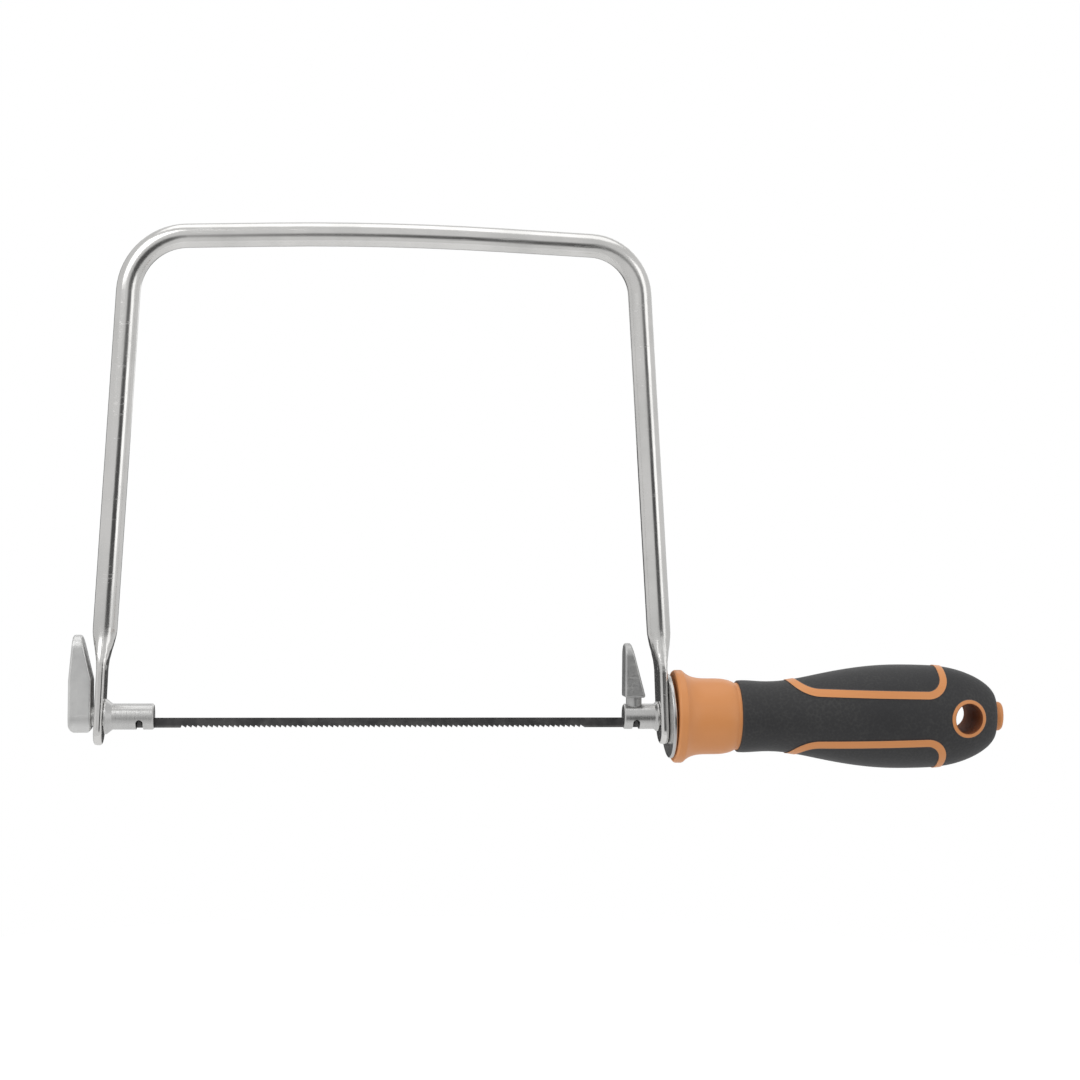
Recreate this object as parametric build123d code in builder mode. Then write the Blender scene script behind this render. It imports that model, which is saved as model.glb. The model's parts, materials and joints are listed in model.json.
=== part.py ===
import os
from math import cos, pi, radians, sin, tan

from build123d import *

# Coping saw. All sizes are in millimetres. +X points from the blade to the handle's
# butt, +Z from the blade to the frame's back, and the origin is the middle of the
# hanging hole. The blade holders, the handle's screw and the handle share the X axis.

# ---------------------------------------------------------------- driving dimensions

# Blade: the standard 6.5 inch coping blade with cross pins
pin_pitch = 162.0
pin_diameter = 1.6
pin_length = 5.8
pin_edge = 0.2
blade_overhang = 1.6
blade_height = 3.2
blade_thickness = 0.5
blade_drop = 2.0
tooth_pitch = 25.4 / 15
tooth_depth = 0.8
tooth_rake = 0.35
front_plain_end = 13.0
rear_plain_end = 15.5

# Blade holders
rear_pin_x = -110.6
barrel_radius = 4.2
barrel_edge = 0.4
rear_mouth_to_pin = 4.0
front_mouth_to_pin = 4.5
slot_width = 0.8
slot_past_pin = 2.6
blade_gap = 0.15
notch_width = 2.3
collar_radius = 5.7
collar_length = 2.4
collar_rim = 0.5
rear_collar_radius = 4.9
shank_radius = 3.0
bore_clearance = 0.06

# Levers
lever_width = 8.4
lever_heel_radius = 3.5
lever_draft = 1.2
lever_tip_z = 26.4
lever_edge = 0.7
lever_gap = 1.0
front_lever_thickness = 7.3
front_lever_tip = 2.7
front_lever_shoulder_z = 12.0
hub_radius = 5.2
rivet_radius = 2.5
rivet_depth = 0.7
rear_lever_thickness = 7.0
rear_lever_tip = 2.2
rear_lever_base_z = 6.4
rear_lever_tip_z = 24.3
stem_radius = 2.6
stem_bottom_z = 1.2

# Frame: one round rod with flattened, pierced ends
rod_radius = 3.9
tab_thickness = 2.7
tab_width = 12.6
tab_edge = 0.9
tab_lean = 2.5
tab_root_z = 15.0
taper_top_z = 29.0
taper_steps = 5
tab_end_z = -9.2
front_tab_x = -285.4
rear_tab_x = -101.45
front_corner = (-276.5, 155.4)
back_crown = (-193.9, 158.5)
rear_corner = (-111.3, 155.4)
front_corner_radius = 19.5
back_crown_radius = 1000.0
rear_corner_radius = 17.0

# Thrust disc between the frame and the handle
disc_radius = 14.0
disc_thickness = 1.4
disc_edge = 0.5
disc_gap = 0.1
disc_clearance = 0.15

# Handle
flange_x = -98.0
flange_radius = 15.4
flange_length = 2.8
flange_edge = 0.9
shoulder_x = -92.6
shoulder_radius = 13.5
waist_x = -86.0
waist_radius = 12.6
neck_radius = 11.2
neck_lip = 1.0
grip_start_x = -76.5
skin = 2.2
rib_proud = 0.25
sleeve_edge = 0.5
# Places along the grip, each with half its height and half its width
grip_stations = (
    (grip_start_x, 11.9, 11.8),
    (-68.0, 11.7, 11.6),
    (-59.0, 12.2, 12.0),
    (-49.0, 14.1, 13.6),
    (-38.0, 16.1, 15.0),
    (-27.0, 17.25, 15.2),
    (-15.0, 17.35, 14.3),
    (-5.0, 16.6, 12.6),
    (1.5, 14.9, 11.0),
    (6.5, 12.6, 9.2),
    (9.0, 10.9, 8.0),
    (11.4, 8.2, 6.2),
)
tail_start_x = 8.0
tail_end_x = 14.8
tail_height = 4.9
tail_width = 3.6
tail_edge = 1.5
hole_radius = 5.0
rim_radius = 6.3
stripe_width = 2.4
pad_front_x = -58.0
pad_knee_x = -54.5
pad_back_x = -9.4
pad_front_z = 13.6
pad_knee_z = 9.9
pad_back_z = 9.0
pad_knee_radius = 10.0
pad_back_radius = 5.0
far_out = 40.0

# Threaded bushing in the handle, and the screw that runs in it
thread_pitch = 1.0
thread_depth = 0.55
thread_crest = 0.2
thread_start_x = -95.5
thread_end_x = -64.5
bushing_start_x = -94.0
bushing_length = 26.0
bushing_across_flats = 10.0
bushing_groove = 0.8
pocket_radius = 3.6
pocket_end_x = -60.0

# ------------------------------------------------------------------ derived places

front_pin_x = rear_pin_x - pin_pitch
rear_mouth_x = rear_pin_x - rear_mouth_to_pin
front_mouth_x = front_pin_x + front_mouth_to_pin
half_tab_on_axis = tab_thickness / 2 / cos(radians(tab_lean))
# A collar stops short of the leaning face of its tab
collar_gap = collar_radius * tan(radians(tab_lean)) + disc_gap
rear_barrel_end_x = rear_tab_x - half_tab_on_axis - collar_gap
front_barrel_end_x = front_tab_x + half_tab_on_axis + collar_gap
front_lever_x = front_tab_x - half_tab_on_axis - lever_gap
front_lever_back_x = front_lever_x - front_lever_thickness
rear_lever_x = rear_mouth_x
rear_stem_x = rear_lever_x + rear_lever_thickness / 2
blade_top_z = blade_height / 2 - blade_drop
blade_bottom_z = blade_top_z - blade_height


def tab_plane(axis_x, lean):
    """The middle plane of a tab that leans by the given angle: x runs across it and y up it."""
    normal = (cos(radians(lean)), 0, -sin(radians(lean)))
    return Plane(origin=(axis_x, 0, 0), x_dir=(0, 1, 0), z_dir=normal)


def cut_blade_seat(mouth_x, pin_x, inward):
    """Cut the blade's slot and the pin's notch, both open downward, from the open barrel."""
    slot_end_x = pin_x + inward * slot_past_pin
    with BuildSketch(Plane.XY.offset(blade_top_z + blade_gap)) as slot:
        with Locations(((mouth_x + slot_end_x) / 2, 0)):
            Rectangle(abs(mouth_x - slot_end_x), slot_width)
    extrude(slot.sketch, amount=-2 * barrel_radius, mode=Mode.SUBTRACT)
    with BuildSketch(Plane.XZ) as notch:
        with Locations((pin_x, -blade_drop)):
            Circle(notch_width / 2)
        with Locations((pin_x, -blade_drop - barrel_radius)):
            Rectangle(notch_width, 2 * barrel_radius)
    extrude(notch.sketch, amount=2 * barrel_radius, both=True, mode=Mode.SUBTRACT)


def turned(points):
    """A turned piece: the outline through the points, in x and radius, spun about the X axis."""
    with BuildSketch(Plane.XZ) as outline:
        Polygon(*points, align=None)
    revolve(outline.sketch, axis=Axis.X)


def grip_body(grow):
    """The grip's oval body, grown by the given amount all round."""
    with BuildPart() as body:
        for x, half_height, half_width in grip_stations:
            with BuildSketch(Plane.YZ.offset(x)):
                Ellipse(half_width + grow, half_height + grow)
        loft()
    return body.part


def pad_outline(side, grow):
    """The pad's outline seen from beside the saw: side is 1 for the top, -1 for the bottom."""
    points = [
        (pad_front_x, side * far_out),
        (pad_front_x, side * pad_front_z),
        (pad_knee_x, side * pad_knee_z),
        (pad_back_x, side * pad_back_z),
        (pad_back_x, side * far_out),
    ]
    with BuildSketch(Plane.XZ) as outline:
        Polygon(*points, align=None)
        knee = outline.vertices().sort_by_distance((pad_knee_x, side * pad_knee_z))[0]
        fillet(knee, pad_knee_radius)
        back = outline.vertices().sort_by_distance((pad_back_x, side * pad_back_z))[0]
        fillet(back, pad_back_radius)
        if grow:
            offset(amount=grow)
    return outline.sketch


# ------------------------------------------------------------------------- blade

toothed_from = front_pin_x + front_plain_end
tooth_count = int((rear_pin_x - rear_plain_end - toothed_from) / tooth_pitch)

blade_outline = [
    (front_pin_x - blade_overhang, blade_top_z),
    (front_pin_x - blade_overhang, blade_bottom_z),
    (toothed_from, blade_bottom_z),
]
for tooth in range(tooth_count):
    root_x = toothed_from + tooth * tooth_pitch
    blade_outline.append((root_x + tooth_rake, blade_bottom_z + tooth_depth))
    blade_outline.append((root_x + tooth_pitch, blade_bottom_z))
blade_outline.append((rear_pin_x + blade_overhang, blade_bottom_z))
blade_outline.append((rear_pin_x + blade_overhang, blade_top_z))

with BuildPart() as blade:
    with BuildSketch(Plane.XZ):
        Polygon(*blade_outline, align=None)
        with Locations((front_pin_x, -blade_drop), (rear_pin_x, -blade_drop)):
            Circle(pin_diameter / 2, mode=Mode.SUBTRACT)
    extrude(amount=blade_thickness / 2, both=True)
blade.part.label = "blade"


def blade_pin(pin_x):
    """A cross pin pressed through the blade's end."""
    with BuildPart() as pin:
        with BuildSketch(Plane.XZ):
            with Locations((pin_x, -blade_drop)):
                Circle(pin_diameter / 2)
        extrude(amount=pin_length / 2, both=True)
        chamfer(pin.edges().filter_by(GeomType.CIRCLE), pin_edge)
    return pin.part


blade_pin_front = blade_pin(front_pin_x)
blade_pin_front.label = "blade_pin_front"
blade_pin_rear = blade_pin(rear_pin_x)
blade_pin_rear.label = "blade_pin_rear"

# ---------------------------------------------------------------- front blade holder

with BuildPart() as front_spindle:
    turned(
        (
            (front_mouth_x, 0),
            (front_mouth_x, barrel_radius - barrel_edge),
            (front_mouth_x - barrel_edge, barrel_radius),
            (front_barrel_end_x + collar_length, barrel_radius),
            (front_barrel_end_x + collar_rim, collar_radius),
            (front_barrel_end_x, collar_radius),
            (front_barrel_end_x, shank_radius),
            (front_lever_x, shank_radius),
            (front_lever_x, rivet_radius),
            (front_lever_back_x + rivet_depth, rivet_radius),
            (front_lever_back_x, rivet_radius + rivet_depth),
            (front_lever_back_x, 0),
        )
    )
    cut_blade_seat(front_mouth_x, front_pin_x, -1)
front_spindle.part.label = "front_spindle"

with BuildPart() as front_lever:
    with BuildSketch(Plane.YZ.offset(front_lever_back_x)):
        Circle(hub_radius)
        with Locations((0, lever_tip_z - lever_width / 2)):
            Circle(lever_width / 2)
        make_hull()
    extrude(amount=front_lever_thickness)
    with BuildSketch(Plane.XZ) as wedge:
        Polygon(
            (front_lever_back_x, -hub_radius - lever_edge),
            (front_lever_x, -hub_radius - lever_edge),
            (front_lever_x, front_lever_shoulder_z),
            (front_lever_back_x + lever_draft + front_lever_tip, lever_tip_z),
            (front_lever_back_x + lever_draft, lever_tip_z),
            (front_lever_back_x, front_lever_shoulder_z),
            align=None,
        )
        fillet(wedge.vertices().group_by(Axis.Y)[0], lever_heel_radius)
    extrude(amount=2 * hub_radius, both=True, mode=Mode.INTERSECT)
    fillet(front_lever.edges().filter_by(Axis.Y, reverse=True), lever_edge)
    with BuildSketch(Plane.XZ):
        Polygon(
            (front_lever_x, 0),
            (front_lever_x, rivet_radius),
            (front_lever_back_x + rivet_depth, rivet_radius),
            (front_lever_back_x, rivet_radius + rivet_depth),
            (front_lever_back_x, 0),
            align=None,
        )
    revolve(axis=Axis.X, mode=Mode.SUBTRACT)
front_lever.part.label = "front_lever"

# ----------------------------------------------------------------- rear blade holder

thread_outline = []
for turn in range(round((thread_end_x - thread_start_x) / thread_pitch)):
    crest_x = thread_start_x + turn * thread_pitch
    thread_outline.append((crest_x, shank_radius))
    thread_outline.append((crest_x + thread_crest, shank_radius))
    thread_outline.append((crest_x + (thread_crest + thread_pitch) / 2, shank_radius - thread_depth))

with BuildPart() as rear_spindle:
    turned(
        (
            (rear_mouth_x, 0),
            (rear_mouth_x, barrel_radius - barrel_edge),
            (rear_mouth_x + barrel_edge, barrel_radius),
            (rear_barrel_end_x - collar_length / 2, barrel_radius),
            (rear_barrel_end_x - collar_rim, rear_collar_radius),
            (rear_barrel_end_x, rear_collar_radius),
            (rear_barrel_end_x, shank_radius),
            *thread_outline,
            (thread_end_x, shank_radius - thread_depth),
            (thread_end_x, 0),
        )
    )
    cut_blade_seat(rear_mouth_x, rear_pin_x, 1)
    with BuildSketch(Plane.XY.offset(stem_bottom_z)):
        with Locations((rear_stem_x, 0)):
            Circle(stem_radius)
    extrude(amount=barrel_radius, mode=Mode.SUBTRACT)
rear_spindle.part.label = "rear_spindle"

with BuildPart() as rear_lever:
    with BuildSketch(Plane.YZ.offset(rear_lever_x)):
        with Locations((0, (rear_lever_base_z + rear_lever_tip_z - lever_width / 2) / 2)):
            Rectangle(lever_width, rear_lever_tip_z - lever_width / 2 - rear_lever_base_z)
        with Locations((0, rear_lever_tip_z - lever_width / 2)):
            Circle(lever_width / 2)
    extrude(amount=rear_lever_thickness)
    with BuildSketch(Plane.XZ):
        Polygon(
            (rear_lever_x, rear_lever_base_z),
            (rear_lever_x + rear_lever_thickness, rear_lever_base_z),
            (rear_lever_x + rear_lever_tip, rear_lever_tip_z),
            (rear_lever_x, rear_lever_tip_z),
            align=None,
        )
    extrude(amount=lever_width, both=True, mode=Mode.INTERSECT)
    fillet(rear_lever.edges(), lever_edge)
    with BuildSketch(Plane.XY.offset(stem_bottom_z)):
        with Locations((rear_stem_x, 0)):
            Circle(stem_radius)
    extrude(amount=rear_lever_base_z + lever_edge - stem_bottom_z)
rear_lever.part.label = "rear_lever"

# ------------------------------------------------------------------------- frame

front_plane = tab_plane(front_tab_x, tab_lean)
rear_plane = tab_plane(rear_tab_x, -tab_lean)


def leg_end(plane, corner):
    """Where a leg's rod ends and its taper starts, on the line from the corner to the tab's root."""
    root = plane.from_local_coords((0, tab_root_z, 0))
    share = (taper_top_z - root.Z) / (corner[1] - root.Z)
    return (root.X + share * (corner[0] - root.X), taper_top_z)


def flat_tab(plane):
    """The flattened end of the rod, with a round end and soft edges."""
    middle_y = tab_end_z + tab_width / 2
    with BuildPart() as tab:
        with BuildSketch(plane):
            with Locations((0, middle_y)):
                Circle(tab_width / 2)
            with Locations((0, (middle_y + tab_root_z) / 2)):
                Rectangle(tab_width, tab_root_z - middle_y)
        extrude(amount=tab_thickness / 2, both=True)
        root_face = tab.faces().sort_by(Axis.Z)[-1]
        open_edges = [edge for edge in tab.edges() if edge not in root_face.edges()]
        fillet([edge for edge in open_edges if edge.length > 2 * tab_thickness], tab_edge)
    return tab.part


with BuildPart() as frame:
    with BuildLine(Plane.XZ) as rod_path:
        FilletPolyline(
            leg_end(front_plane, front_corner),
            front_corner,
            back_crown,
            rear_corner,
            leg_end(rear_plane, rear_corner),
            radius=(front_corner_radius, back_crown_radius, rear_corner_radius),
        )
    front_end = Plane(origin=rod_path.line @ 0, x_dir=(0, 1, 0), z_dir=rod_path.line % 0)
    rear_end = Plane(origin=rod_path.line @ 1, x_dir=(0, 1, 0), z_dir=-(rod_path.line % 1))
    with BuildSketch(front_end):
        Circle(rod_radius)
    sweep()
    for plane, rod_end in ((front_plane, front_end), (rear_plane, rear_end)):
        root = plane.from_local_coords((0, tab_root_z, 0))
        with BuildSketch(Plane(origin=root, x_dir=(0, 1, 0), z_dir=plane.y_dir)):
            RectangleRounded(tab_width, tab_thickness, tab_edge)
        for step in range(1, taper_steps):
            share = step / taper_steps
            flatness = (1 + cos(pi * share)) / 2
            middle = root + (rod_end.origin - root) * share
            with BuildSketch(Plane(origin=middle, x_dir=(0, 1, 0), z_dir=plane.y_dir)):
                RectangleRounded(
                    2 * rod_radius + (tab_width - 2 * rod_radius) * flatness,
                    2 * rod_radius - (2 * rod_radius - tab_thickness) * flatness,
                    rod_radius - (rod_radius - tab_edge) * flatness,
                )
        with BuildSketch(rod_end):
            Circle(rod_radius)
        loft()
        add(flat_tab(plane))
    for axis_x in (front_tab_x, rear_tab_x):
        with BuildSketch(Plane.YZ.offset(axis_x)):
            Circle(shank_radius + bore_clearance)
        extrude(amount=tab_thickness, both=True, mode=Mode.SUBTRACT)
frame.part.label = "frame"

# -------------------------------------------------------------------- thrust disc

disc_plane = rear_plane.offset(tab_thickness / 2 + disc_gap)

with BuildPart() as thrust_disc:
    with BuildSketch(disc_plane):
        Circle(disc_radius)
    extrude(amount=disc_thickness)
    fillet(thrust_disc.edges(), disc_edge)
    with BuildSketch(Plane.YZ.offset(flange_x)):
        Circle(shank_radius + disc_clearance)
    extrude(amount=-tab_thickness, mode=Mode.SUBTRACT)
thrust_disc.part.label = "thrust_disc"

# ------------------------------------------------------------------------- handle

with BuildPart() as thread_insert:
    with BuildSketch(Plane.YZ.offset(bushing_start_x)):
        RegularPolygon(bushing_across_flats / 2, 6, major_radius=False)
    extrude(amount=bushing_length)
    for groove_share in (1 / 3, 2 / 3):
        groove_x = bushing_start_x + groove_share * bushing_length
        with BuildSketch(Plane.YZ.offset(groove_x)):
            Circle(bushing_across_flats)
            Circle(bushing_across_flats / 2 - bushing_groove, mode=Mode.SUBTRACT)
        extrude(amount=bushing_groove, both=True, mode=Mode.SUBTRACT)
    with BuildSketch(Plane.YZ.offset(bushing_start_x)):
        Circle(shank_radius + bore_clearance)
    extrude(amount=bushing_length, mode=Mode.SUBTRACT)
thread_insert.part.label = "thread_insert"

outer_skin = grip_body(0)
proud_skin = grip_body(rib_proud)
inner_grip = grip_body(-skin)

with BuildPart() as stripes:
    add(proud_skin)
    add(inner_grip, mode=Mode.SUBTRACT)
    with BuildSketch(Plane.XZ) as stripe_outline:
        for side in (1, -1):
            add(pad_outline(side, stripe_width))
            add(pad_outline(side, 0), mode=Mode.SUBTRACT)
    extrude(stripe_outline.sketch, amount=flange_radius + skin, both=True, mode=Mode.INTERSECT)

with BuildPart() as hole_rim:
    add(proud_skin)
    with BuildSketch(Plane.XZ):
        Circle(rim_radius)
    extrude(amount=flange_radius + skin, both=True, mode=Mode.INTERSECT)

with BuildPart() as tail:
    with BuildSketch(Plane.YZ.offset(tail_start_x)):
        Ellipse(tail_width, tail_height)
    extrude(amount=tail_end_x - tail_start_x)
    fillet(tail.faces().sort_by(Axis.X)[-1].edges(), tail_edge)

with BuildPart() as handle_core:
    with BuildSketch(Plane.XZ) as neck_outline:
        with BuildLine():
            Polyline(
                (grip_start_x, 0),
                (flange_x, 0),
                (flange_x, flange_radius),
                (flange_x + flange_length, flange_radius),
            )
            Spline(
                (flange_x + flange_length, flange_radius),
                (shoulder_x, shoulder_radius),
                (waist_x, waist_radius),
                (grip_start_x - neck_lip, neck_radius),
            )
            Polyline(
                (grip_start_x - neck_lip, neck_radius),
                (grip_start_x, neck_radius),
                (grip_start_x, 0),
            )
        make_face()
        flange_rim = neck_outline.vertices().group_by(Axis.Y)[-1]
        fillet(flange_rim, flange_edge)
    revolve(axis=Axis.X)
    add(inner_grip)
    add(stripes.part)
    add(hole_rim.part)
    add(tail.part)
    with BuildSketch(Plane.XZ):
        Circle(hole_radius)
    extrude(amount=flange_radius + skin, both=True, mode=Mode.SUBTRACT)
    with BuildSketch(Plane.YZ.offset(flange_x)):
        Circle(pocket_radius)
    extrude(amount=pocket_end_x - flange_x, mode=Mode.SUBTRACT)
    add(thread_insert.part, mode=Mode.SUBTRACT)
handle_core.part.label = "handle_core"


def grip_pad(side):
    """The soft pad inside a stripe: side is 1 for the top, -1 for the bottom."""
    with BuildPart() as pad:
        add(outer_skin)
        add(inner_grip, mode=Mode.SUBTRACT)
        extrude(pad_outline(side, 0), amount=flange_radius + skin, both=True, mode=Mode.INTERSECT)
    return pad.part


grip_pad_top = grip_pad(1)
grip_pad_top.label = "grip_pad_top"
grip_pad_bottom = grip_pad(-1)
grip_pad_bottom.label = "grip_pad_bottom"

with BuildPart() as grip_sleeve:
    add(outer_skin)
    for neighbour in (inner_grip, stripes.part, grip_pad_top, grip_pad_bottom):
        add(neighbour, mode=Mode.SUBTRACT)
    with BuildSketch(Plane.XZ):
        Circle(rim_radius)
    extrude(amount=flange_radius + skin, both=True, mode=Mode.SUBTRACT)
    front_face = grip_sleeve.faces().sort_by(Axis.X)[0]
    fillet(front_face.outer_wire().edges(), sleeve_edge)
grip_sleeve.part.label = "grip_sleeve"

# -------------------------------------------------------------------- written pieces

pieces = (
    frame.part,
    front_spindle.part,
    front_lever.part,
    rear_spindle.part,
    rear_lever.part,
    blade.part,
    blade_pin_front,
    blade_pin_rear,
    thrust_disc.part,
    thread_insert.part,
    handle_core.part,
    grip_sleeve.part,
    grip_pad_top,
    grip_pad_bottom,
)

os.makedirs("parts", exist_ok=True)
for piece in pieces:
    export_step(piece, f"parts/{piece.label}.step")
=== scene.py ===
"""Coping saw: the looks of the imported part, its studio and its camera."""

import json
from math import cos, radians, sin

import bmesh
import bpy
from mathutils import Matrix, Vector


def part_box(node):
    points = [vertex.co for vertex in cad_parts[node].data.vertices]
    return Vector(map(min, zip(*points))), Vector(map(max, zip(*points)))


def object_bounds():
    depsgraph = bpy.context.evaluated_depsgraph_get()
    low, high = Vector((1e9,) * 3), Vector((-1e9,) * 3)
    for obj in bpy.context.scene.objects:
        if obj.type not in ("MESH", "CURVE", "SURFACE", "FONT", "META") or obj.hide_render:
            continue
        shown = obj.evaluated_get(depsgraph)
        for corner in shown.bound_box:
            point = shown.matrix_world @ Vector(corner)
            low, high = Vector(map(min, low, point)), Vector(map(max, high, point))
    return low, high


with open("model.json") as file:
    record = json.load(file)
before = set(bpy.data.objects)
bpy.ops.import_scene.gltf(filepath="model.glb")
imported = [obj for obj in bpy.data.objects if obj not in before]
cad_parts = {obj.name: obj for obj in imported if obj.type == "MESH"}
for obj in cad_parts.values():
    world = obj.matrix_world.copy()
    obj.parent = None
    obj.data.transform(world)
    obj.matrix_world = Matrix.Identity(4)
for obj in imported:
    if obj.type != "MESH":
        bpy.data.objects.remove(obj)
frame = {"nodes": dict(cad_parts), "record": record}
cad_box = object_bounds()
nodes = frame["nodes"]

MM = 0.001
WHITE = (1, 1, 1, 1)

# --------------------------------------------------------------------------- camera

PICTURE = 1080                      # pixels on a side
FOCAL = 1976.5                      # in the same pixels
SENSOR = 36.0                       # mm
CAMERA_PLACE = Vector((-0.2109, -0.650, 0.0583))
CAMERA_AIM = Vector((-0.1429, 0.0, 0.0583))
CAMERA_ROLL = radians(0.5)


def make_camera():
    """A level camera, turned a little to the right, with a slight roll."""
    data = bpy.data.cameras.new("camera")
    data.sensor_width = SENSOR
    data.lens = SENSOR * FOCAL / PICTURE
    camera = bpy.data.objects.new("camera", data)
    forward = (CAMERA_AIM - CAMERA_PLACE).normalized()
    level = forward.cross(Vector((0, 0, 1))).normalized()
    upright = level.cross(forward)
    right = level * cos(CAMERA_ROLL) + upright * sin(CAMERA_ROLL)
    up = right.cross(forward)
    turn = Matrix((right, up, -forward)).transposed()
    camera.matrix_world = Matrix.Translation(CAMERA_PLACE) @ turn.to_4x4()
    bpy.context.scene.collection.objects.link(camera)
    bpy.context.scene.camera = camera


# -------------------------------------------------------------------- shader helpers


class Nodes:
    """The nodes of one tree, added one at a time."""

    def __init__(self, tree):
        self.tree = tree

    def feed(self, socket, value):
        """Link an output to the socket, or set the socket's own value."""
        if isinstance(value, bpy.types.NodeSocket):
            self.tree.links.new(value, socket)
        else:
            socket.default_value = value

    def add(self, kind, *inputs, **settings):
        """A new node: its inputs in their order (None leaves one alone), and its settings."""
        node = self.tree.nodes.new(kind)
        for setting, value in settings.items():
            setattr(node, setting, value)
        sockets = [socket for socket in node.inputs if socket.enabled]
        for socket, value in zip(sockets, inputs):
            if value is not None:
                self.feed(socket, value)
        return node

    def math(self, operation, *inputs, clamp=False):
        return self.add("ShaderNodeMath", *inputs, operation=operation, use_clamp=clamp).outputs[0]

    def plus(self, *inputs):
        return self.math("ADD", *inputs)

    def times(self, *inputs):
        return self.math("MULTIPLY", *inputs)

    def larger(self, *inputs):
        return self.math("MAXIMUM", *inputs)


class Shader(Nodes):
    """One procedural material. Scales are in bumps per metre, and depths and radii in metres."""

    NOISE_LOW, NOISE_HIGH = 0.3, 0.7    # nearly all of a noise lies between these

    def __init__(self, name, **sockets):
        self.material = bpy.data.materials.new(name)
        self.material.use_nodes = True
        super().__init__(self.material.node_tree)
        self.bsdf = self.tree.nodes["Principled BSDF"]
        for socket, value in sockets.items():
            self.feed(self.bsdf.inputs[socket.replace("_", " ")], value)
        self.place = self.add("ShaderNodeTexCoord").outputs["Object"]

    def axis(self, name):
        return self.add("ShaderNodeSeparateXYZ", self.place).outputs[name]

    def stretched(self, x, y, z, turn=0.0):
        """The place in the part, scaled along each axis and turned about Y."""
        return self.add("ShaderNodeMapping", self.place, None, (0, turn, 0), (x, y, z)).outputs[0]

    def distance(self, x, y, z):
        """Distance from the origin, with each axis scaled first: 0 leaves an axis out."""
        place = self.stretched(x, y, z)
        return self.add("ShaderNodeVectorMath", place, operation="LENGTH").outputs["Value"]

    def noise(self, scale, detail=3.0, roughness=0.5, place=None):
        """Fractal noise."""
        where = self.place if place is None else place
        return self.add("ShaderNodeTexNoise", where, scale, detail, roughness).outputs[0]

    def cells(self, scale):
        """Distance to the nearest of many scattered points, in units of their spacing."""
        return self.add("ShaderNodeTexVoronoi", self.place, scale).outputs["Distance"]

    def lines(self, scale, value, detail):
        """Noise that varies along one value alone, as turning marks do along a spindle."""
        node = self.add("ShaderNodeTexNoise", noise_dimensions="1D")
        self.feed(node.inputs["W"], value)
        self.feed(node.inputs["Scale"], scale)
        self.feed(node.inputs["Detail"], detail)
        return node.outputs[0]

    def remap(self, value, low, high, to_low, to_high):
        return self.add("ShaderNodeMapRange", value, low, high, to_low, to_high).outputs[0]

    def share(self, value, low=NOISE_LOW, high=NOISE_HIGH):
        """0 where the value is low, 1 where it is high; low may be the larger number."""
        return self.remap(value, low, high, 0.0, 1.0)

    def spread(self, noise, least, most):
        """A noise that runs from the least to the most."""
        return self.remap(noise, self.NOISE_LOW, self.NOISE_HIGH, least, most)

    def blend(self, share, first, second):
        """A colour between two colours."""
        node = self.add("ShaderNodeMix", share, first, second, data_type="RGBA")
        return node.outputs["Result"]

    def scratches(self, density, turn, low=0.66, high=0.72):
        """Fine scratches in one direction: 0 off them and 1 on them."""
        along = self.stretched(0.06, 1.0, 1.0, radians(turn))
        return self.share(self.noise(density, 2.0, 0.4, along), low, high)

    def edges(self, radius, strength=9.0):
        """1 on edges sharper than the radius, 0 on flat and gently curved places."""
        soft = self.add("ShaderNodeBevel", radius, samples=6).outputs[0]
        plain = self.add("ShaderNodeNewGeometry").outputs["Normal"]
        match = self.add("ShaderNodeVectorMath", soft, plain, operation="DOT_PRODUCT")
        turned = self.math("SUBTRACT", 1.0, match.outputs["Value"])
        return self.math("MULTIPLY", turned, strength, clamp=True)

    def rougher(self, rough, where, by):
        """A roughness raised where a mask is 1; it is lowered if by is below 0."""
        return self.plus(rough, self.times(where, by))

    def bump(self, height, depth, after=None):
        """Raise the surface by the depth where height is 1; a depth below 0 sinks it."""
        node = self.add("ShaderNodeBump")
        self.feed(node.inputs["Strength"], 1.0)
        self.feed(node.inputs["Distance"], depth)
        self.feed(node.inputs["Height"], height)
        if after is not None:
            self.feed(node.inputs["Normal"], after)
        return node.outputs[0]

    def finish(self, color, roughness, normal):
        self.feed(self.bsdf.inputs["Base Color"], color)
        self.feed(self.bsdf.inputs["Roughness"], roughness)
        self.feed(self.bsdf.inputs["Normal"], normal)
        return self.material


def tinted(red, green, blue, tint=1.0):
    """A colour for a socket; a tint below 1 makes it darker."""
    return (red * tint, green * tint, blue * tint, 1)


# ------------------------------------------------------------------------- materials

NICKEL = tinted(0.80, 0.79, 0.775)
NICKEL_SMUDGED = tinted(0.69, 0.685, 0.67)
TURNED = (0.66, 0.655, 0.645)
TURNED_SMUDGED = (0.56, 0.56, 0.555)
TURNED_WORN = tinted(0.82, 0.81, 0.79)
FORGED = (0.76, 0.76, 0.75)
FORGED_SMUDGED = (0.66, 0.66, 0.655)
FORGED_WORN = (0.86, 0.85, 0.84)
BLADE = tinted(0.088, 0.087, 0.089)
BLADE_STAINED = tinted(0.15, 0.147, 0.145)
BLADE_GROUND = tinted(0.30, 0.295, 0.29)
ORANGE = tinted(0.79, 0.330, 0.120)
ORANGE_FLOWED = tinted(0.72, 0.292, 0.102)
ORANGE_WORN = tinted(0.80, 0.42, 0.22)
# darkened orange: painted shade inside the hanging hole
ORANGE_PAINTED_SHADE = tinted(0.26, 0.085, 0.028)
BLACK = tinted(0.027, 0.027, 0.029)
BLACK_HANDLED = tinted(0.036, 0.036, 0.037)
BLACK_DUSTY = tinted(0.070, 0.069, 0.067)
# lighter colour for the grip's edges: partly wear, partly a painted highlight
BLACK_WORN_HIGHLIT = tinted(0.120, 0.119, 0.117)

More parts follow.
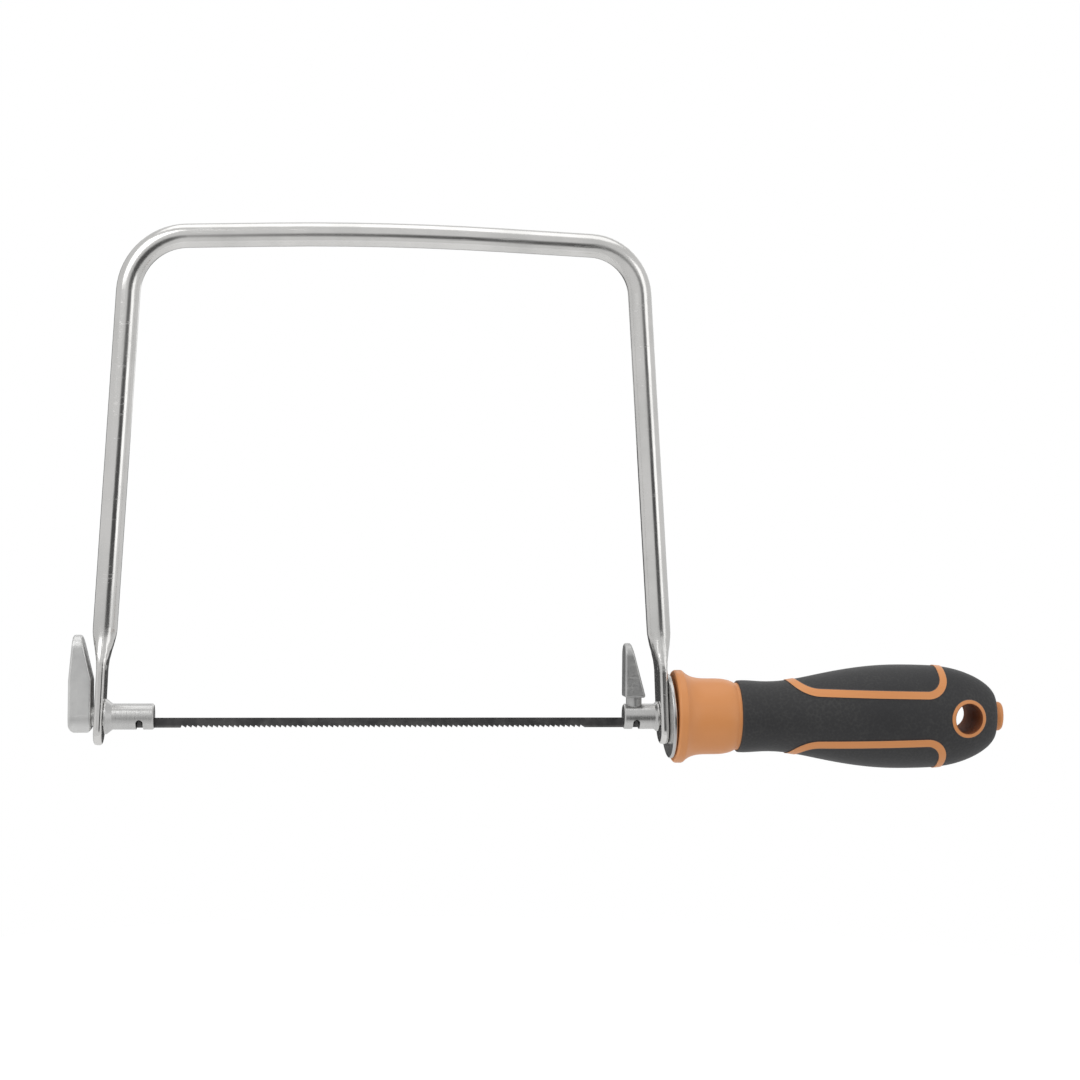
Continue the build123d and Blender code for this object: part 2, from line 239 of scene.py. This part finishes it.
DRAW_LINES = 2600                   # a metre, across the rod
DRAWN_OUT = 0.03                    # their share of that along the rod
BACK_STARTS, BACK_IS_FULL = 0.142, 0.150    # m above the blade: draw lines turn from legs to back
TOOTH_HEIGHT = 0.8 * MM
GRIND_FADE = 0.35 * MM              # from the top of the teeth down to their bright steel
SEAM_FLAT, SEAM_WIDE = 0.06 * MM, 0.16 * MM     # half widths of the parting line's top and foot
# painted shade in the hanging hole: full out to the first distance past its radius, gone by the
# second
HOLE_SHADE_FULL, HOLE_SHADE_ENDS = 0.1 * MM, 0.25 * MM    # outside the hanging hole's radius


def nickel_rod():
    """Bright nickel plate over drawn rod: faint draw lines, smudges and hairline scratches."""
    s = Shader("nickel_rod", Metallic=1.0)
    on_back = s.share(s.axis("Z"), BACK_STARTS, BACK_IS_FULL)
    legs, back = (s.noise(scale=DRAW_LINES, detail=2.0, roughness=0.5, place=place)
                  for place in (s.stretched(1.0, 1.0, DRAWN_OUT), s.stretched(DRAWN_OUT, 1.0, 1.0)))
    drawn = s.add("ShaderNodeMix", on_back, legs, back).outputs[0]
    smudge = s.noise(scale=55, detail=3.0, roughness=0.6)
    hairlines = s.larger(s.scratches(density=900, turn=70), s.scratches(density=1300, turn=-35))
    color = s.blend(s.share(smudge, 0.35, 0.7), NICKEL, NICKEL_SMUDGED)
    rough = s.rougher(s.spread(smudge, least=0.13, most=0.24), hairlines, by=0.12)
    rough = s.plus(rough, s.spread(drawn, least=-0.03, most=0.03))
    normal = s.bump(drawn, depth=0.6e-5)
    normal = s.bump(hairlines, depth=-0.4e-5, after=normal)
    return s.finish(color, rough, normal)


def turned_steel(name, ring_value, tint=1.0):
    """Plated steel off a lathe: fine rings, a few deeper ones, and worn edges."""
    s = Shader(name, Metallic=1.0)
    value = ring_value(s)
    fine = s.lines(scale=9000, value=value, detail=3.0)
    coarse = s.lines(scale=1500, value=value, detail=1.0)
    smudge = s.noise(scale=240, detail=3.0, roughness=0.6)
    worn = s.times(s.edges(radius=0.25 * MM), s.remap(smudge, 0.4, 0.6, 0.2, 1.0))
    dull = s.blend(smudge, tinted(*TURNED, tint), tinted(*TURNED_SMUDGED, tint))
    color = s.blend(worn, dull, TURNED_WORN)
    rough = s.plus(s.spread(fine, least=0.2, most=0.34), s.spread(smudge, least=-0.03, most=0.06))
    normal = s.bump(fine, depth=1.2e-5)
    normal = s.bump(coarse, depth=2.0e-5, after=normal)
    return s.finish(color, rough, normal)


def along_spindle(s):
    """Rings that stand side by side along the saw's axis."""
    return s.axis("X")


def about_axis(s):
    """Rings round the saw's axis, one outside the other."""
    return s.distance(0.0, 1.0, 1.0)


def forged_lever(name, tint):
    """Forged and tumbled steel under satin plate, brighter on its worn edges."""
    s = Shader(name, Metallic=1.0)
    grain = s.noise(scale=1500, detail=4.0, roughness=0.6)
    dents = s.noise(scale=330, detail=2.0, roughness=0.5)
    smudge = s.noise(scale=120, detail=3.0, roughness=0.6)
    hairlines = s.larger(s.scratches(density=1100, turn=80), s.scratches(density=900, turn=25))
    worn = s.times(s.edges(radius=0.5 * MM), s.remap(grain, 0.35, 0.6, 0.1, 1.0))
    smudged = s.share(smudge, 0.35, 0.65)
    dull = s.blend(smudged, tinted(*FORGED, tint), tinted(*FORGED_SMUDGED, tint))
    color = s.blend(worn, dull, tinted(*FORGED_WORN, tint))
    rough = s.rougher(s.spread(grain, least=0.33, most=0.48), worn, by=-0.1)
    rough = s.rougher(rough, hairlines, by=0.1)
    normal = s.bump(grain, depth=2.5e-5)
    normal = s.bump(dents, depth=4.0e-5, after=normal)
    normal = s.bump(hairlines, depth=-1.0e-5, after=normal)
    return s.finish(color, rough, normal)


def blade_steel(tooth_top):
    """Dark hardened strip with grinding marks along it, and teeth ground brighter."""
    s = Shader("blade_steel", Metallic=1.0)
    ground = s.noise(scale=5200, detail=3.0, roughness=0.6, place=s.stretched(0.05, 1.0, 1.0))
    stain = s.noise(scale=160, detail=4.0, roughness=0.65)
    on_teeth = s.share(s.axis("Z"), tooth_top, tooth_top - GRIND_FADE)
    dark = s.blend(s.share(stain, 0.35, 0.7), BLADE, BLADE_STAINED)
    bright = s.times(on_teeth, s.remap(stain, 0.3, 0.6, 0.25, 0.6))
    color = s.blend(bright, dark, BLADE_GROUND)
    rough = s.plus(s.spread(ground, least=0.3, most=0.46), s.remap(stain, 0.4, 0.7, 0.0, 0.1))
    return s.finish(color, rough, s.bump(ground, depth=1.2e-5))


def orange_plastic(hole_radius):
    """Hard moulded plastic: a spark-eroded skin, faint flow marks, a parting line and scuffs.

    The hanging hole, along Y through the origin, is darkened with painted shade and has a duller
    wall."""
    s = Shader("orange_plastic", IOR=1.46, Specular_IOR_Level=0.42)
    from_hole = s.distance(1.0, 0.0, 1.0)
    # mask of the painted shade inside the hanging hole; it also dulls the wall's roughness
    painted_hole_shade = s.share(from_hole, hole_radius + HOLE_SHADE_ENDS, hole_radius + HOLE_SHADE_FULL)
    flow = s.noise(scale=38, detail=3.0, roughness=0.6, place=s.stretched(0.4, 1.0, 1.0))
    skin = s.noise(scale=5200, detail=2.0, roughness=0.55)
    scuffs = s.larger(s.scratches(density=1300, turn=60, low=0.7),
                      s.scratches(density=1700, turn=-25, low=0.7))
    worn = s.times(s.edges(radius=0.35 * MM), s.remap(skin, 0.4, 0.6, 0.0, 0.5))
    body = s.blend(s.share(flow), ORANGE, ORANGE_FLOWED)
    color = s.blend(s.larger(worn, s.times(scuffs, 0.12)), body, ORANGE_WORN)
    # painted shade: the colour inside the hanging hole is darkened
    color = s.blend(painted_hole_shade, color, ORANGE_PAINTED_SHADE)
    rough = s.rougher(s.spread(skin, least=0.3, most=0.42), scuffs, by=0.12)
    rough = s.rougher(rough, painted_hole_shade, by=0.35)
    seam = s.share(s.math("ABSOLUTE", s.axis("Y")), SEAM_WIDE, SEAM_FLAT)
    normal = s.bump(skin, depth=1.6e-5)
    normal = s.bump(seam, depth=6.0e-5, after=normal)
    normal = s.bump(scuffs, depth=-1.0e-5, after=normal)
    return s.finish(color, rough, normal)


def soft_grip(name, grain_scale, grain_depth):
    """Moulded elastomer: a leathery grain, dusty in its low places, and polished and lighter on its
    edges, partly wear and partly a painted highlight.
    """
    s = Shader(name, IOR=1.5, Specular_IOR_Level=0.4, Sheen_Weight=0.06, Sheen_Roughness=0.5)
    pebble = s.cells(grain_scale)
    fine = s.noise(scale=grain_scale * 3.5, detail=3.0, roughness=0.6)
    handled = s.noise(scale=46, detail=3.0, roughness=0.6)
    grain = s.plus(s.share(pebble, 0.75, 0.0), s.times(fine, 0.5))
    worn = s.times(s.edges(radius=0.6 * MM), s.remap(fine, 0.35, 0.6, 0.3, 0.9))
    low_places = s.remap(pebble, 0.45, 0.8, 0.0, 0.45)
    dust = s.times(low_places, s.remap(handled, 0.35, 0.7, 0.2, 1.0))
    body = s.blend(s.share(handled, 0.35, 0.7), BLACK, BLACK_HANDLED)
    color = s.blend(dust, body, BLACK_DUSTY)
    # edge wear and painted highlight: the edges are lightened in colour
    color = s.blend(worn, color, BLACK_WORN_HIGHLIT)
    rough = s.plus(s.spread(handled, least=0.5, most=0.66), s.spread(fine, least=-0.04, most=0.06))
    rough = s.rougher(rough, worn, by=-0.15)
    return s.finish(color, rough, s.bump(grain, depth=grain_depth))


def dress(node_names, material):
    """Give CAD nodes a material in each of their slots."""
    for name in node_names:
        slots = nodes[name].data.materials
        if not len(slots):
            slots.append(material)
        for index in range(len(slots)):
            slots[index] = material


def dress_all():
    tooth_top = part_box("blade")[0].z + TOOTH_HEIGHT
    mounts = frame["record"]["mounts"]
    hang_hole = next(mount for mount in mounts if mount["name"] == "hang_hole")
    dress(["frame"], nickel_rod())
    dress(["front_spindle", "rear_spindle"], turned_steel("turned_spindle", along_spindle))
    dress(["thread_insert"], turned_steel("turned_insert", along_spindle, tint=0.9))
    dress(["thrust_disc"], turned_steel("pressed_disc", about_axis, tint=0.95))
    dress(["front_lever"], forged_lever("forged_front_lever", tint=1.0))
    # painted shade: the rear lever gets a darker copy (tint 0.72) of the front lever's steel
    dress(["rear_lever"], forged_lever("forged_rear_lever_painted_shade", tint=0.72))
    dress(["blade", "blade_pin_front", "blade_pin_rear"], blade_steel(tooth_top))
    dress(["handle_core"], orange_plastic(hang_hole["dims"]["r_mm"] * MM))
    dress(["grip_sleeve"], soft_grip("grip_black", grain_scale=1150, grain_depth=3.5e-5))
    dress(["grip_pad_top", "grip_pad_bottom"],
          soft_grip("pad_black", grain_scale=1500, grain_depth=2.5e-5))


# ---------------------------------------------------------------------------- studio

FLOOR_DROP = 0.45                   # below the saw's lowest point
FLOOR_RADIUS = 1.2
FLOOR_SIDES = 96
FLOOR_FRONT_Y = -0.3                # its near edge, between the camera and the saw
FLOOR_GLOW = 0.5                    # only for the camera, so that the floor reads as white
FLOOR_PALE = tinted(0.93, 0.93, 0.93)
FLOOR_MOTTLED = tinted(0.90, 0.90, 0.90)

ROOM_WHITE = 0.68                   # the room's brightness in reflections and as light
PATCH_BLUR = 7.0                    # degrees either side of a patch's edge

# Each dark patch: azimuth from the front towards +X, height, half width in degrees, brightness
DARK_PATCHES = ((20.0, -0.2, 22.0, 0.07), (188.0, 0.0, 32.0, 0.06))

# Each softbox: name, place, width, height, watts
SOFTBOXES = (
    ("key", (-0.85, -0.75, 0.75), 0.8, 0.8, 3.0),
    ("fill", (0.75, -0.75, 0.35), 0.6, 0.9, 1.1),
    ("top", (-0.12, 0.05, 1.05), 1.1, 0.7, 1.7),
    ("back", (-0.1, 1.0, 0.45), 1.3, 0.7, 1.6),
)


def make_floor():
    """A plain pale floor, well below the hanging saw."""
    mesh = bpy.data.meshes.new("floor")
    build = bmesh.new()
    bmesh.ops.create_circle(build, cap_ends=True, segments=FLOOR_SIDES, radius=FLOOR_RADIUS)
    build.to_mesh(mesh)
    build.free()
    floor = bpy.data.objects.new("floor", mesh)
    saw_lowest = cad_box[0][2]
    floor.location = (CAMERA_AIM.x, FLOOR_FRONT_Y + FLOOR_RADIUS, saw_lowest - FLOOR_DROP)
    bpy.context.scene.collection.objects.link(floor)
    s = Shader("floor_paint", Emission_Color=WHITE)
    seen = s.add("ShaderNodeLightPath").outputs["Is Camera Ray"]
    s.feed(s.bsdf.inputs["Emission Strength"], s.times(seen, FLOOR_GLOW))
    mottle = s.noise(scale=3, detail=3.0, roughness=0.5)
    color = s.blend(mottle, FLOOR_PALE, FLOOR_MOTTLED)
    rough = s.spread(mottle, least=0.85, most=0.95)
    mesh.materials.append(s.finish(color, rough, s.bump(mottle, depth=1e-4)))


def make_world():
    """A white room with a darker patch before and behind the saw, which the camera can't see."""
    world = bpy.data.worlds.new("white_room")
    bpy.context.scene.world = world
    world.use_nodes = True
    room = Nodes(world.node_tree)
    towards = room.add("ShaderNodeTexCoord").outputs["Generated"]
    shade = None
    for azimuth, height, width, brightness in DARK_PATCHES:
        turn = radians(azimuth)
        aim = Vector((sin(turn), -cos(turn), height)).normalized()
        facing = room.add("ShaderNodeVectorMath", towards, aim, operation="DOT_PRODUCT")
        outside, inside = (cos(radians(width + blur)) for blur in (PATCH_BLUR, -PATCH_BLUR))
        patch = room.add("ShaderNodeMapRange", facing.outputs["Value"], outside, inside,
                         ROOM_WHITE, brightness, interpolation_type="SMOOTHSTEP").outputs[0]
        shade = patch if shade is None else room.math("MINIMUM", shade, patch)
    seen = room.add("ShaderNodeLightPath").outputs["Is Camera Ray"]
    strength = room.add("ShaderNodeMix", seen, shade, 1.0).outputs[0]
    background = world.node_tree.nodes["Background"]
    room.feed(background.inputs["Strength"], strength)
    room.feed(background.inputs["Color"], WHITE)


def make_lights():
    for name, place, width, height, watts in SOFTBOXES:
        data = bpy.data.lights.new(name, "AREA")
        data.shape = "RECTANGLE"
        data.size = width
        data.size_y = height
        data.energy = watts
        light = bpy.data.objects.new(name, data)
        light.location = place
        light.rotation_euler = (CAMERA_AIM - Vector(place)).to_track_quat("-Z", "Y").to_euler()
        light.visible_camera = False
        bpy.context.scene.collection.objects.link(light)


# ----------------------------------------------------------------------------- scene

dress_all()
make_camera()
make_floor()
make_world()
make_lights()
bpy.context.scene.view_settings.view_transform = "Standard"
